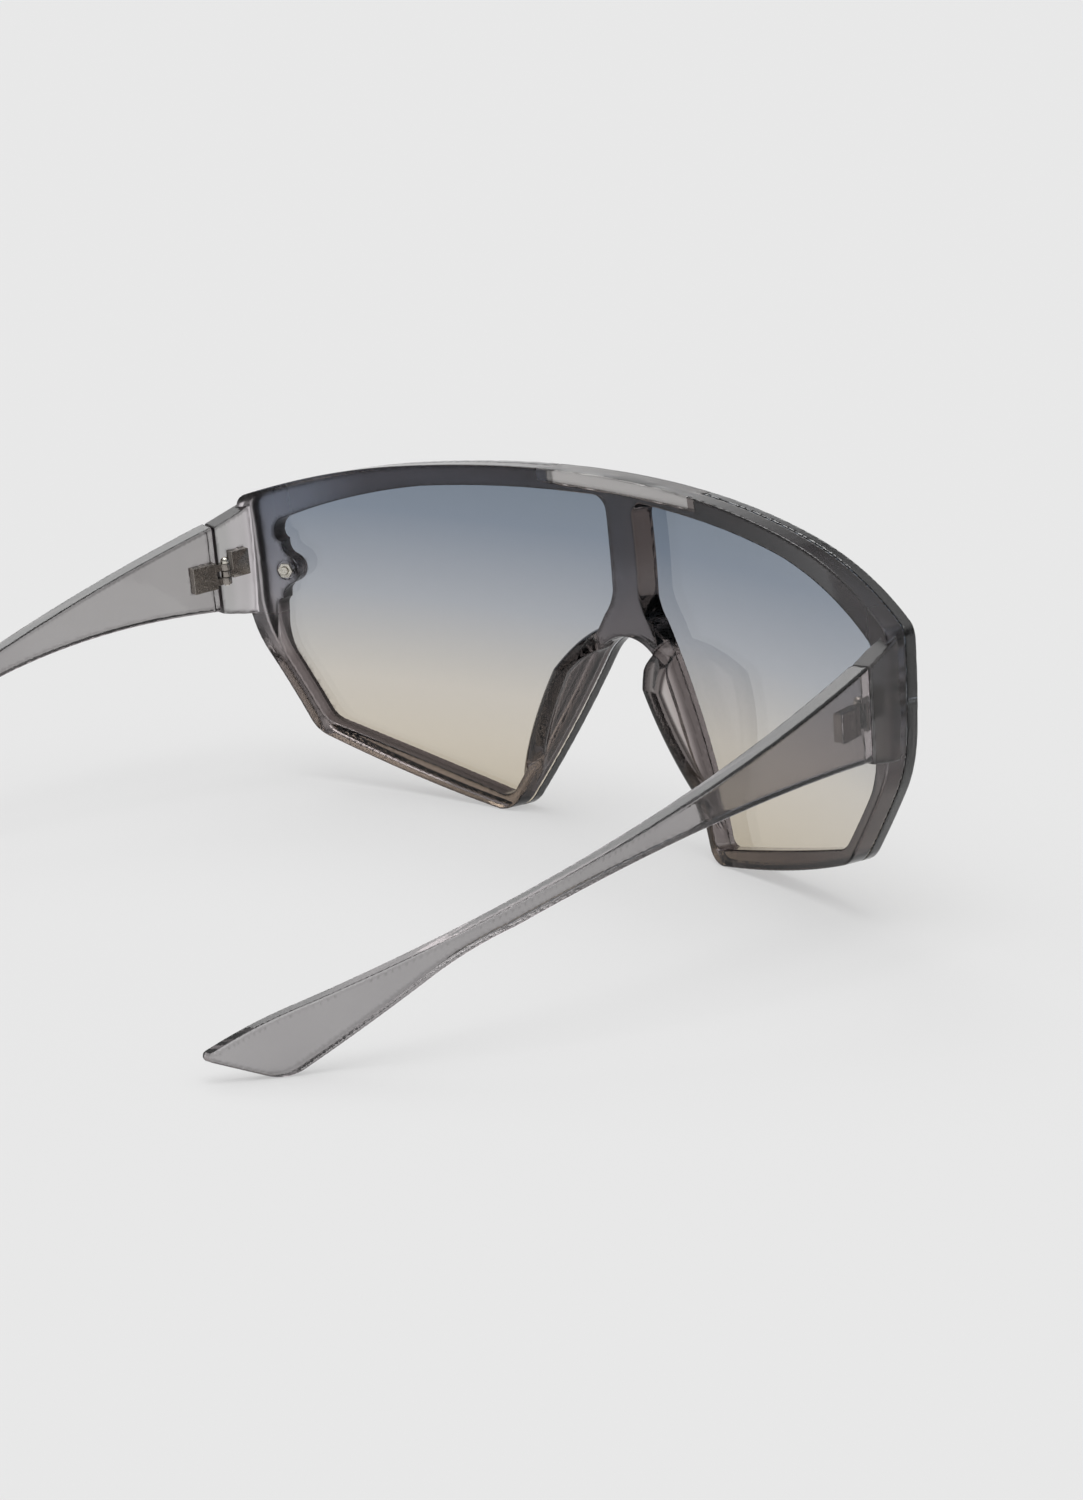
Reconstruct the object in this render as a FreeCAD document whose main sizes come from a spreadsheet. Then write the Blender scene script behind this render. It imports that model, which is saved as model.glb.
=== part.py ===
import FreeCAD, Part
import math
import os
import Sketcher

# Shield sunglasses, in millimetres: +X is the wearer's right, +Y forward, +Z up, floor at zero.
# The front of the shield is part of a ball whose foremost point lies at y = front_y, and the temples
# reach as far behind the origin.

os.makedirs("parts", exist_ok=True)
doc = FreeCAD.newDocument("shield_sunglasses")
sheet = doc.addObject("Spreadsheet::Sheet", "dims")

sizes = {
    # Shield ball and layers of the front, from the front to the back
    "wrap_radius": 160,
    "apex_height": 25.4,
    "lens_thick": 2,
    "seat_gap": 0.05,
    "frame_depth": 3.55,
    # Outline of the front, seen from ahead, one half
    "half_width": 71.5,
    "top_height": 57,
    "top_radius": 305,
    "shoulder_inset": 27.5,
    "shoulder_radius": 118,
    "brow_height": 46.9,
    "brow_round": 2.35,
    "flank_height": 30.5,
    "flank_inset": 0.7,
    "flank_round": 18.9,
    "jaw_height": 20.7,
    "jaw_inset": 4,
    "cheek_inset": 14.3,
    "cheek_height": 7.8,
    "cheek_round": 6.3,
    "lower_radius": 157,
    "foot_height": 2.1,
    "foot_round": 4.2,
    "nose_angle": 60.8,
    "arch_height": 31.4,
    "arch_radius": 8.4,
    # Eye openings: the rim left round each of them, and the tilt of their walls
    "eye_tilt": 15,
    "brow_rim": 3.35,
    "brow_rim_end": 4.7,
    "side_rim": 3.4,
    "cheek_rim": 1.5,
    "lower_rim": 2.6,
    "nose_rim": 2.3,
    "bridge_width": 7.8,
    "eye_round": 2.4,
    # Notch in the top of the shield and the block of the frame that fills it
    "notch_width": 33.2,
    "notch_depth": 2.8,
    "notch_gap": 0.2,
    # Nose wings
    "wing_thick": 3.4,
    "wing_reach": 11.5,
    "wing_height": 25.5,
    "wing_foot_reach": 5,
    "wing_top_reach": 3.4,
    "wing_top_round": 7,
    "wing_nose_flare": 0.06,
    "wing_eye_flare": -0.13,
    # Plan of the temples: two upright cylinders, widest at temple_bow_back behind the flank
    "temple_outer_radius": 180,
    "temple_inner_radius": 177,
    "temple_overhang": 4,
    "temple_bow_back": 41.1354,
    "temple_taper": 2.2,
    # Side view of the temples and end pieces
    "temple_top": 43.9,
    "temple_bottom": 28.1,
    "temple_bottom_radius": 190,
    "temple_length": 138.6,
    "waist_from_tip": 41.3,
    "waist_depth": 3.1,
    "throat_from_tip": 28.1,
    "throat_depth": 4.4,
    "throat_radius": 50,
    "paddle_from_tip": 11.8,
    "paddle_height": 9.7,
    "paddle_radius": 52,
    "heel_from_tip": 8.8,
    "heel_round": 5.5,
    "tip_height": 2.9,
    "tip_round": 0.9,
    "end_piece_lead": 1.86,
    "end_piece_bend": 5.64,
    "end_piece_front_top": 46.9,
    "end_piece_bend_top": 45.5,
    "end_piece_rear_top": 41.2,
    "end_piece_bottom": 27,
    "end_piece_rear_bottom": 28.2,
    # Hinge: place of its pin, turn and lean, and sizes of its parts
    "pin_stand": 1.1,
    "pin_setback": 12.24,
    "pin_height": 34.8,
    "hinge_turn": 10,
    "hinge_lean": 6.5,
    "pin_radius": 0.45,
    "pin_gap": 0.03,
    "knuckle_radius": 0.85,
    "knuckle_half": 1.75,
    "middle_half": 0.5,
    "knuckle_gap": 0.08,
    "leaf_proud": 1.4,
    "leaf_sunk": 0.4,
    "leaf_gap": 0.02,
    "leaf_height": 4.3,
    "leaf_rise": 0.5,
    "front_leaf_length": 3.2,
    "front_leaf_inset": 1.75,
    "temple_leaf_length": 4.4,
    "temple_leaf_inset": 0.7,
    "temple_gap": 0.5,
    "gap_offset": 0.8,
    "pin_head_radius": 0.75,
    "pin_head_rim": 0.25,
    # Lens screws and nuts
    "screw_inset": 4.75,
    "screw_height": 34.6,
    "screw_radius": 0.6,
    "screw_gap": 0.05,
    "screw_head_radius": 1.3,
    "screw_head_thick": 0.7,
    "head_sink": 0.3,
    "nut_across": 2.3,
    "nut_thick": 0.9,
    "nut_sink": 0.45,
    "nut_room": 0.25,
    "slot_width": 0.35,
    "boss_radius": 2.4,
    "boss_half_height": 4.8,
}
for row, (alias, value) in enumerate(sizes.items(), start=1):
    sheet.set("A%d" % row, alias)
    sheet.set("B%d" % row, str(value))
    sheet.setAlias("B%d" % row, alias)
doc.recompute()


class Size:
    # A number that carries the sheet formula it comes from.
    def __init__(self, value, formula):
        self.value = value
        self.formula = formula

    def __add__(self, other):
        other = as_size(other)
        return Size(self.value + other.value, "(%s + %s)" % (self.formula, other.formula))

    def __sub__(self, other):
        other = as_size(other)
        return Size(self.value - other.value, "(%s - %s)" % (self.formula, other.formula))

    def __mul__(self, other):
        other = as_size(other)
        return Size(self.value * other.value, "(%s * %s)" % (self.formula, other.formula))

    def __truediv__(self, other):
        other = as_size(other)
        return Size(self.value / other.value, "(%s / %s)" % (self.formula, other.formula))

    def __neg__(self):
        return as_size(0) - self

    def __radd__(self, other):
        return as_size(other) + self

    def __rsub__(self, other):
        return as_size(other) - self

    def __rmul__(self, other):
        return as_size(other) * self


def as_size(number):
    return number if isinstance(number, Size) else Size(float(number), "(%r)" % float(number))


def sine(angle):
    return Size(math.sin(math.radians(angle.value)), "sin(%s)" % angle.formula)


def cosine(angle):
    return Size(math.cos(math.radians(angle.value)), "cos(%s)" % angle.formula)


def tangent(angle):
    return Size(math.tan(math.radians(angle.value)), "tan(%s)" % angle.formula)


def angle_of(sine_value):
    return Size(math.degrees(math.asin(sine_value.value)), "(asin(%s) / 1 deg)" % sine_value.formula)


def root(number):
    return Size(math.sqrt(number.value), "sqrt(%s)" % number.formula)


class Dims:
    # Every size of the sheet by its name.
    pass


d = Dims()
for alias, value in sizes.items():
    setattr(d, alias, Size(float(value), "dims." + alias))


# Ways to make objects of the document
x_axis = (1, 0, 0)
z_axis = (0, 0, 1)


def bind(thing, **bindings):
    for name, number in bindings.items():
        thing.setExpression(name, as_size(number).formula)
    return thing


def vector_formula(numbers):
    return "vector(%s)" % "; ".join(as_size(number).formula for number in numbers)


def place(thing, at=(0, 0, 0), turns=(), inner=(0, 0, 0)):
    # Moves by inner, then by the turns, given as (axis, angle) with the outermost first, then to at.
    turns = turns or ((z_axis, 0),)
    spins = ["rotation(%s; %s)" % (vector_formula(axis), as_size(angle).formula) for axis, angle in turns]
    outer = "placement(%s; %s)" % (vector_formula(at), " * ".join(spins))
    shift = "placement(%s; rotation(vector(0; 0; 1); 0))" % vector_formula(inner)
    thing.setExpression("Placement", outer + " * " + shift)
    return thing


def box(name, low, high, at=(0, 0, 0), turns=()):
    # A block between two corners of the frame that at and turns describe.
    low = [as_size(number) for number in low]
    high = [as_size(number) for number in high]
    block = doc.addObject("Part::Box", name)
    bind(block, Length=high[0] - low[0], Width=high[1] - low[1], Height=high[2] - low[2])
    return place(block, at, turns, low)


def rod(name, radius, low, high, at=(0, 0, 0), turns=()):
    # A cylinder along the Z axis of the frame that at and turns describe.
    low = as_size(low)
    bar = bind(doc.addObject("Part::Cylinder", name), Radius=radius, Height=high - low)
    return place(bar, at, turns, (0, 0, low))


def ball(name, radius):
    sphere = bind(doc.addObject("Part::Sphere", name), Radius=radius)
    return place(sphere, (0, ball_y, d.apex_height))


def fuse(name, *pieces):
    joined = doc.addObject("Part::MultiFuse", name)
    joined.Shapes = list(pieces)
    joined.Refine = True
    return joined


def common(name, *pieces):
    shared = doc.addObject("Part::MultiCommon", name)
    shared.Shapes = list(pieces)
    shared.Refine = True
    return shared


def cut(name, base, *tools):
    for number, tool in enumerate(tools, start=1):
        rest = doc.addObject("Part::Cut", name if number == len(tools) else "%s_%d" % (name, number))
        rest.Base = base
        rest.Tool = tool
        rest.Refine = True
        base = rest
    return base


def mirror(name, source):
    other = doc.addObject("Part::Mirroring", name)
    other.Source = source
    other.Normal = FreeCAD.Vector(*x_axis)
    return other


def extrude(name, sketch, direction, length):
    solid = doc.addObject("Part::Extrusion", name)
    solid.Base = sketch
    solid.DirMode = "Custom"
    solid.Solid = True
    solid.setExpression("Dir", vector_formula(direction))
    return bind(solid, LengthFwd=length)


def arc(start, end, radius):
    # A positive radius bulges to the right of the way from start to end.
    chord = end - start
    left = FreeCAD.Vector(-chord.y, chord.x, 0).normalize()
    depth = math.sqrt(radius * radius - chord.Length * chord.Length / 4)
    centre = (start + end) * 0.5 + left * math.copysign(depth, radius)
    first, last = (start - centre, end - centre) if radius > 0 else (end - centre, start - centre)
    circle = Part.Circle(centre, FreeCAD.Vector(*z_axis), abs(radius))
    return Part.ArcOfCircle(circle, math.atan2(first.y, first.x), math.atan2(last.y, last.x))


def outline(name, points):
    # A closed sketch from (across, up, radius of the edge to the next point, or 0 for a straight edge).
    sketch = doc.addObject("Sketcher::SketchObject", name)
    points = [[as_size(number) for number in point] for point in points]
    spots = [FreeCAD.Vector(across.value, up.value, 0) for across, up, radius in points]
    ends = []
    for start, end, (across, up, radius) in zip(spots, spots[1:] + spots[:1], points):
        if radius.value:
            number = sketch.addGeometry(arc(start, end, radius.value))
            ends.append((number, 1, 2) if radius.value > 0 else (number, 2, 1))
        else:
            ends.append((sketch.addGeometry(Part.LineSegment(start, end)), 1, 2))
    for (number, first, last), follower, (across, up, radius) in zip(ends, ends[1:] + ends[:1], points):
        sketch.addConstraint(Sketcher.Constraint("Coincident", number, last, follower[0], follower[1]))
        rules = [(Sketcher.Constraint("DistanceX", -1, 1, number, first, across.value), across),
                 (Sketcher.Constraint("DistanceY", -1, 1, number, first, up.value), up)]
        if radius.value:
            rules.append((Sketcher.Constraint("Radius", number, abs(radius.value)),
                          radius if radius.value > 0 else -radius))
        for rule, size in rules:
            sketch.setExpression("Constraints[%d]" % sketch.addConstraint(rule), size.formula)
    return sketch


# Balls that the layers of the front lie between, all with one centre
front_y = d.temple_length / 2
ball_y = front_y - d.wrap_radius
flank_back = d.wrap_radius - root(d.wrap_radius * d.wrap_radius - d.half_width * d.half_width)
frame_front = d.wrap_radius - d.lens_thick - d.seat_gap
frame_back = frame_front - d.frame_depth
shield_front_ball = ball("shield_front_ball", d.wrap_radius)
shield_back_ball = ball("shield_back_ball", d.wrap_radius - d.lens_thick)
frame_front_ball = ball("frame_front_ball", frame_front)
frame_back_ball = ball("frame_back_ball", frame_back)
frame_middle_ball = ball("frame_middle_ball", frame_front - d.frame_depth / 2)

# Sketches seen from ahead have x across; those seen from the side have the way back from the front across
ahead_view = ((x_axis, 90),)
side_view = ((z_axis, -90), (x_axis, 90))
past_front = 10
past_back = 60
past_temple = 3

# Outline of the front: arch over the nose, nose line, foot, lower edge, cheek, flank, brow, top
arch_x = d.arch_radius * sine(d.nose_angle)
arch_z = d.arch_height - d.arch_radius + d.arch_radius * cosine(d.nose_angle)


def nose_x(height, offset=0):
    # The slanting line beside the nose, or one that lies offset further out.
    return arch_x + (arch_z - height) / tangent(d.nose_angle) + as_size(offset) / sine(d.nose_angle)


def top_z(across):
    # The top edge between the shoulders.
    return d.top_height - d.top_radius + root(d.top_radius * d.top_radius - across * across)


shoulder_x = d.half_width - d.shoulder_inset
cheek_x = d.half_width - d.cheek_inset
foot_x = nose_x(d.foot_height)
foot_rise = d.foot_round - d.foot_height
low_x = foot_x + root(d.foot_round * d.foot_round - foot_rise * foot_rise)
half_outline = outline("front_outline", [
    (0, d.arch_height, -d.arch_radius),
    (arch_x, arch_z, 0),
    (foot_x, d.foot_height, d.foot_round),
    (low_x, 0, d.lower_radius),
    (cheek_x, d.cheek_height, d.cheek_round),
    (cheek_x + d.cheek_round * 0.49, d.cheek_height + d.cheek_round * 0.38, 0),
    (d.half_width - d.jaw_inset, d.jaw_height, d.flank_round),
    (d.half_width - d.flank_inset, d.flank_height, 0),
    (d.half_width, d.brow_height - d.brow_round, d.brow_round),
    (d.half_width - d.brow_round * 0.64, d.brow_height, d.shoulder_radius),
    (shoulder_x, top_z(shoulder_x), d.top_radius),
    (0, d.top_height, 0),
])
place(half_outline, (0, front_y + past_front, 0), ahead_view)
front_half = extrude("front_half", half_outline, (0, -1, 0), past_front + past_back)
front_prism = fuse("front_prism", front_half, mirror("front_half_left", front_half))

# Lens screw: an axis square to the shield, along which places are measured from the centre of the balls
screw_rise = d.screw_height - d.apex_height


def along_screw(radius):
    return root(radius * radius - screw_rise * screw_rise)


back_face = along_screw(frame_back)
front_face = along_screw(d.wrap_radius)
screw_angle = angle_of((d.half_width - d.screw_inset) / front_face)
screw_way = (sine(screw_angle), cosine(screw_angle), 0)
screw_frame = ((0, ball_y, d.screw_height), ((z_axis, -screw_angle), ((0, 1, 1), 180)))
nut_seat = back_face + d.nut_sink
nut_end = nut_seat - d.nut_thick
head_seat = front_face - d.head_sink
nut_radius = d.nut_across / math.sqrt(3)
screw_bore = rod("screw_bore", d.screw_radius + d.screw_gap,
                 back_face - past_front, front_face + past_front, *screw_frame)
nut_recess = rod("nut_recess", nut_radius + d.nut_room, back_face - past_front, nut_seat, *screw_frame)
head_recess = rod("head_recess", d.screw_head_radius + d.nut_room,
                  head_seat, front_face + past_front, *screw_frame)
screw_shank = rod("screw_shank", d.screw_radius, nut_end - d.screw_radius * 0.5, head_seat, *screw_frame)
screw_head = doc.addObject("Part::Cone", "screw_head")
bind(screw_head, Radius1=d.screw_head_radius, Radius2=d.screw_head_radius * 0.72, Height=d.screw_head_thick)
place(screw_head, *screw_frame, (0, 0, head_seat))
screw_slot = box("screw_slot",
                 (-d.screw_head_radius, -d.slot_width / 2, head_seat + d.screw_head_thick * 0.5),
                 (d.screw_head_radius, d.slot_width / 2, head_seat + d.screw_head_thick * 2), *screw_frame)
lens_screw = cut("lens_screw_right", fuse("screw_solid", screw_shank, screw_head), screw_slot)
nut_prism = doc.addObject("Part::Prism", "nut_prism")
nut_prism.Polygon = 6
bind(nut_prism, Circumradius=nut_radius, Height=d.nut_thick)
place(nut_prism, *screw_frame, (0, 0, nut_end))
lens_nut = cut("lens_nut_right", nut_prism, screw_bore)

# Shield: one layer of the balls inside the outline, with the top notch and the screw holes
notch_low = d.top_height - d.notch_depth
half_notch = d.notch_width / 2
notch = box("notch", (-half_notch, ball_y, notch_low),
            (half_notch, front_y + past_front, d.top_height + past_front))
shield_holes = [screw_bore, head_recess]
shield_holes += [mirror(hole.Name + "_left", hole) for hole in shield_holes]
shield_blank = common("shield_blank", front_prism, shield_front_ball)
shield_lens = cut("shield_lens", shield_blank, shield_back_ball, notch, *shield_holes)

# Eye opening: its points lie on the front of the frame and are seen along an axis turned outward
eye_turns = ((z_axis, -d.eye_tilt), (x_axis, 90))
eye_way = (sine(d.eye_tilt), cosine(d.eye_tilt), 0)


def eye(across, up, radius):
    rise = up - d.apex_height
    ahead = root(frame_front * frame_front - across * across - rise * rise)
    return across * cosine(d.eye_tilt) - ahead * sine(d.eye_tilt), up, radius


bridge_x = d.bridge_width / 2
side_x = d.half_width - d.side_rim
eye_top = d.top_height - d.brow_rim
eye_low = d.cheek_height + d.lower_rim * 0.84
brow_x = shoulder_x - d.brow_rim
eye_flank_round = d.flank_round * 0.6
eye_outline = outline("eye_outline", [
    eye(bridge_x, d.arch_height + d.arch_radius * 0.86, d.arch_radius),
    eye(nose_x(d.arch_height + d.nose_rim * 1.35, d.nose_rim), d.arch_height + d.nose_rim * 1.35, 0),
    eye(nose_x(d.lower_rim * 1.6, d.nose_rim), d.lower_rim * 1.6, d.eye_round),
    eye(low_x + d.lower_rim * 0.2, d.lower_rim, d.lower_radius * 3),
    eye(cheek_x - d.cheek_rim * 0.2, eye_low, d.cheek_round - d.cheek_rim),
    eye(cheek_x + d.cheek_rim * 1.6, eye_low + d.cheek_rim * 1.33, 0),
    eye(d.half_width - d.jaw_inset - d.cheek_rim * 1.4, d.jaw_height - d.cheek_rim * 0.27, eye_flank_round),
    eye(side_x - d.flank_inset, d.flank_height - d.side_rim * 1.26, 0),
    eye(side_x, d.brow_height - d.brow_rim_end - d.eye_round * 0.5, d.eye_round),
    eye(side_x - d.eye_round * 0.8, d.brow_height - d.brow_rim_end + d.eye_round * 0.5, d.shoulder_radius),
    eye(brow_x, top_z(brow_x) - d.brow_rim, d.top_radius),
    eye(bridge_x + d.eye_round * 4, top_z(bridge_x + d.eye_round * 4) - d.brow_rim, 0),
    eye(bridge_x + d.eye_round, eye_top, d.eye_round),
    eye(bridge_x, eye_top - d.eye_round, 0),
])
place(eye_outline, (0, ball_y, 0), eye_turns)
eye_prism = extrude("eye_prism", eye_outline, eye_way, d.wrap_radius + past_front)

# Boss that carries the nut and swells into the eye opening
boss_foot = back_face - past_front
boss_outline = outline("boss_outline", [
    (-d.boss_radius, -d.boss_half_height, 0),
    (d.boss_radius * -0.26, -d.boss_half_height, d.boss_half_height * -0.5),
    (d.boss_radius * 0.34, d.boss_radius * -0.94, d.boss_radius),
    (d.boss_radius * 0.34, d.boss_radius * 0.94, d.boss_half_height * -0.5),
    (d.boss_radius * -0.26, d.boss_half_height, 0),
    (-d.boss_radius, d.boss_half_height, 0),
])
place(boss_outline, *screw_frame, (0, 0, boss_foot))
boss_prism = extrude("boss_prism", boss_outline, screw_way, front_face - boss_foot)

# Nose wing: a wedge beside the nose, thick at the rim and thin at its leaf-shaped back edge
wing_x = d.arch_radius * 0.5
wing_top_x = wing_x * 1.24
wing_arch = d.arch_radius + d.wing_thick
wing_low = d.foot_height * 1.2
centre_z = d.arch_height - d.arch_radius
wing_eye_low = (nose_x(wing_low, d.wing_thick), wing_low, 0)
wing_eye_high = (wing_arch * sine(d.nose_angle), centre_z + wing_arch * cosine(d.nose_angle), wing_arch)
wing_eye_top = (wing_top_x, centre_z + root(wing_arch * wing_arch - wing_top_x * wing_top_x), 0)
wing_outline = outline("wing_outline", [
    (wing_x, centre_z + root(d.arch_radius * d.arch_radius - wing_x * wing_x), -d.arch_radius),
    (arch_x, arch_z, 0),
    (nose_x(wing_low), wing_low, 0),
    wing_eye_low,
    wing_eye_high,
    wing_eye_top,
])
place(wing_outline, (0, front_y, 0), ahead_view)
wing_band = extrude("wing_band", wing_outline, (d.wing_nose_flare, -1, 0), past_back / 2)
wing_limit_outline = outline("wing_limit_outline", [
    (0, wing_low, 0),
    wing_eye_low,
    wing_eye_high,
    wing_eye_top,
    (0, d.arch_height + d.wing_thick, 0),
])
place(wing_limit_outline, (0, front_y, 0), ahead_view)
wing_limit = extrude("wing_limit", wing_limit_outline, (d.wing_eye_flare, -1, 0), past_back / 2)
wing_top = d.arch_height + d.wing_thick * 0.35
wing_side = outline("wing_side", [
    (0, d.foot_height, 0),
    (d.wing_foot_reach, d.foot_height, d.wing_reach * 4),
    (d.wing_reach, d.wing_height, d.wing_top_round),
    (d.wing_top_reach, wing_top, 0),
    (0, wing_top, 0),
])
place(wing_side, (0, front_y, 0), side_view)
wing_side_prism = extrude("wing_side_prism", wing_side, x_axis, past_back)
wing = common("wing", wing_band, wing_limit, wing_side_prism, frame_middle_ball)

# Plan of temples and end pieces: outer and inner upright cylinders
temple_widest = d.half_width + d.temple_overhang
pin_back = flank_back + d.pin_setback
bow_back = flank_back + d.temple_bow_back
bow_x = temple_widest - d.temple_outer_radius
bow_y = front_y - bow_back
seam_away = ((z_axis, 180),)
outer_bow = rod("outer_bow", d.temple_outer_radius, -past_front, d.top_height + past_front,
                (bow_x, bow_y, 0), seam_away)
inner_bow = rod("inner_bow", d.temple_inner_radius, -past_front * 2, d.top_height + past_front * 2,
                (bow_x, bow_y - d.temple_taper, 0), seam_away)

# Hinge frame: X outward through the temple, Y forward, Z up along the pin
pin_run = bow_back + d.temple_taper - pin_back
pin_x = bow_x + root(d.temple_inner_radius * d.temple_inner_radius - pin_run * pin_run) - d.pin_stand
hinge_frame = ((pin_x, front_y - pin_back, d.pin_height),
               ((z_axis, d.hinge_turn), (x_axis, d.hinge_lean)))
front_end = -d.gap_offset + d.temple_gap / 2
temple_end = -d.gap_offset - d.temple_gap / 2


def hinge_box(name, low, high):
    return box(name, low, high, *hinge_frame)


def hinge_rod(name, radius, low, high):
    return rod(name, radius, low, high, *hinge_frame)


def leaf(name, low, high, knuckles, arm_end):
    # A plate let into the plastic, with arms that reach to the knuckles round the pin.
    plate_low = d.pin_stand - d.leaf_proud
    plate_high = d.pin_stand + d.leaf_sunk
    plate = hinge_box(name + "_plate", (plate_low, low[0], low[1]), (plate_high, high[0], high[1]))
    room = hinge_box(name + "_room", (plate_low - past_front, low[0] - d.leaf_gap, low[1] - d.leaf_gap),
                     (plate_high + d.leaf_gap, high[0] + d.leaf_gap, high[1] + d.leaf_gap))
    solids = [plate]
    for number, (bottom, top) in enumerate(knuckles, start=1):
        solids.append(hinge_rod("%s_knuckle_%d" % (name, number), d.knuckle_radius, bottom, top))
        arm_low, arm_high = (arm_end, as_size(0)) if arm_end.value < 0 else (as_size(0), arm_end)
        solids.append(hinge_box("%s_arm_%d" % (name, number), (plate_low, arm_low, bottom),
                                (d.knuckle_radius, arm_high, top)))
    bore = hinge_rod(name + "_bore", d.pin_radius + d.pin_gap, -past_front, past_front)
    return cut(name, fuse(name + "_solid", *solids), bore), room


front_leaf_start = front_end + d.front_leaf_inset
temple_leaf_start = temple_end - d.temple_leaf_inset
outer_knuckle = d.middle_half + d.knuckle_gap
front_leaf, front_leaf_room = leaf(
    "hinge_front_leaf_right",
    (front_leaf_start, -d.middle_half - d.leaf_rise),
    (front_leaf_start + d.front_leaf_length, d.leaf_height - d.middle_half - d.leaf_rise),
    [(-d.middle_half, d.middle_half)], front_leaf_start)
temple_leaf, temple_leaf_room = leaf(
    "hinge_temple_leaf_right",
    (temple_leaf_start - d.temple_leaf_length, -d.knuckle_half - d.leaf_rise),
    (temple_leaf_start, d.leaf_height - d.knuckle_half - d.leaf_rise),
    [(-d.knuckle_half, -outer_knuckle), (outer_knuckle, d.knuckle_half)], temple_leaf_start)

# Hinge screw: pin, rim of the head and dome
pin = hinge_rod("pin", d.pin_radius, -d.knuckle_half - d.pin_radius * 0.5, d.knuckle_half)
pin_rim = hinge_rod("pin_rim", d.pin_head_radius, d.knuckle_half, d.knuckle_half + d.pin_head_rim)
pin_dome = bind(doc.addObject("Part::Sphere", "pin_dome"), Radius=d.pin_head_radius)
pin_dome.Angle1 = 0
place(pin_dome, *hinge_frame, (0, 0, d.knuckle_half + d.pin_head_rim))
hinge_screw = fuse("hinge_screw_right", pin, pin_rim, pin_dome)

# End piece: from the front of the frame back to the gap before the temple
end_start = flank_back - d.end_piece_lead
end_bend = flank_back + d.end_piece_bend
end_back = pin_back + past_temple
end_side = outline("end_side", [
    (end_start, d.end_piece_bottom, 0),
    (end_bend, d.end_piece_bottom, 0),
    (end_back, d.end_piece_rear_bottom, 0),
    (end_back, d.end_piece_rear_top, 0),
    (end_bend, d.end_piece_bend_top, 0),
    (end_start, d.end_piece_front_top, 0),
])
place(end_side, (pin_x - past_front, front_y, 0), side_view)
end_prism = extrude("end_prism", end_side, x_axis, past_front * 3)
behind_gap = hinge_box("behind_gap", (-past_back, -past_back, -past_back), (past_back, front_end, past_back))
end_blank = common("end_blank", end_prism, outer_bow, frame_middle_ball)
end_piece = cut("end_piece", end_blank, inner_bow, behind_gap)

# Frame: layer of the balls, top block, eye openings, then bosses, wings and end pieces, then the recesses
block = box("block", (d.notch_gap - half_notch, ball_y, notch_low + d.notch_gap),
            (half_notch - d.notch_gap, front_y + past_front, d.top_height + past_front))
top_block = cut("top_block", common("block_blank", front_prism, shield_front_ball, block), frame_middle_ball)
pierced = cut("pierced", front_prism, eye_prism, mirror("eye_prism_left", eye_prism))
bossed = fuse("bossed", pierced, boss_prism, mirror("boss_prism_left", boss_prism))
rims = cut("rims", common("rim_blank", bossed, frame_front_ball), frame_back_ball)
extras = [wing, end_piece]
extras += [mirror(extra.Name + "_left", extra) for extra in extras]
recesses = [screw_bore, nut_recess, front_leaf_room]
recesses += [mirror(recess.Name + "_frame_left", recess) for recess in recesses]
front_frame = cut("front_frame", fuse("frame_solid", rims, top_block, *extras), *recesses)

# Temple: tall at the hinge, slim in the middle, with a pointed paddle that rests on the floor
tip = d.temple_length
heel = tip - d.heel_from_tip
waist = tip - d.waist_from_tip
throat = tip - d.throat_from_tip
paddle = tip - d.paddle_from_tip
temple_start = pin_back - past_temple


def temple_top_z(way):
    # Height of the straight line along the top edge.
    fall = (d.temple_top - d.paddle_height) / (paddle - temple_start)
    return d.temple_top - (way - temple_start) * fall


temple_side = outline("temple_side", [
    (temple_start, d.temple_bottom, -d.temple_bottom_radius),
    (waist, temple_top_z(waist) - d.waist_depth, -d.throat_radius),
    (throat, temple_top_z(throat) - d.throat_depth, 0),
    (heel - d.heel_round * 0.564, d.heel_round * 0.174, d.heel_round),
    (heel + d.heel_round * 0.392, d.heel_round * 0.08, 0),
    (tip, d.tip_height, d.tip_round),
    (tip - d.tip_round * 0.33, d.tip_height + d.tip_round * 1.72, d.paddle_radius),
    (paddle, d.paddle_height, 0),
    (temple_start, d.temple_top, 0),
])
place(temple_side, (0, front_y, 0), side_view)
temple_prism = extrude("temple_prism", temple_side, x_axis, temple_widest + past_front)
before_gap = hinge_box("before_gap", (-past_back, temple_end, -past_back), (past_back, past_back, past_back))
temple_blank = common("temple_blank", temple_prism, outer_bow)
temple = cut("temple_right", temple_blank, inner_bow, before_gap, temple_leaf_room)

# Nodes: the left side mirrors the right
nodes = [shield_lens, front_frame]
for right in (lens_screw, lens_nut, front_leaf, temple_leaf, hinge_screw, temple):
    nodes += [right, mirror(right.Name.replace("_right", "_left"), right)]
doc.recompute()

for thing in doc.Objects:
    if "Invalid" in thing.State or "Error" in thing.State:
        raise RuntimeError("object failed: " + thing.Name)
for node in nodes:
    if node.Shape.isNull() or not node.Shape.isValid():
        raise RuntimeError("bad shape: " + node.Label)
    if len(node.Shape.Solids) != 1:
        raise RuntimeError("%s has %d solids" % (node.Label, len(node.Shape.Solids)))
for node in nodes:
    node.Shape.exportStep("parts/%s.step" % node.Label)
    print(node.Label, round(node.Shape.Volume, 2))
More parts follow.
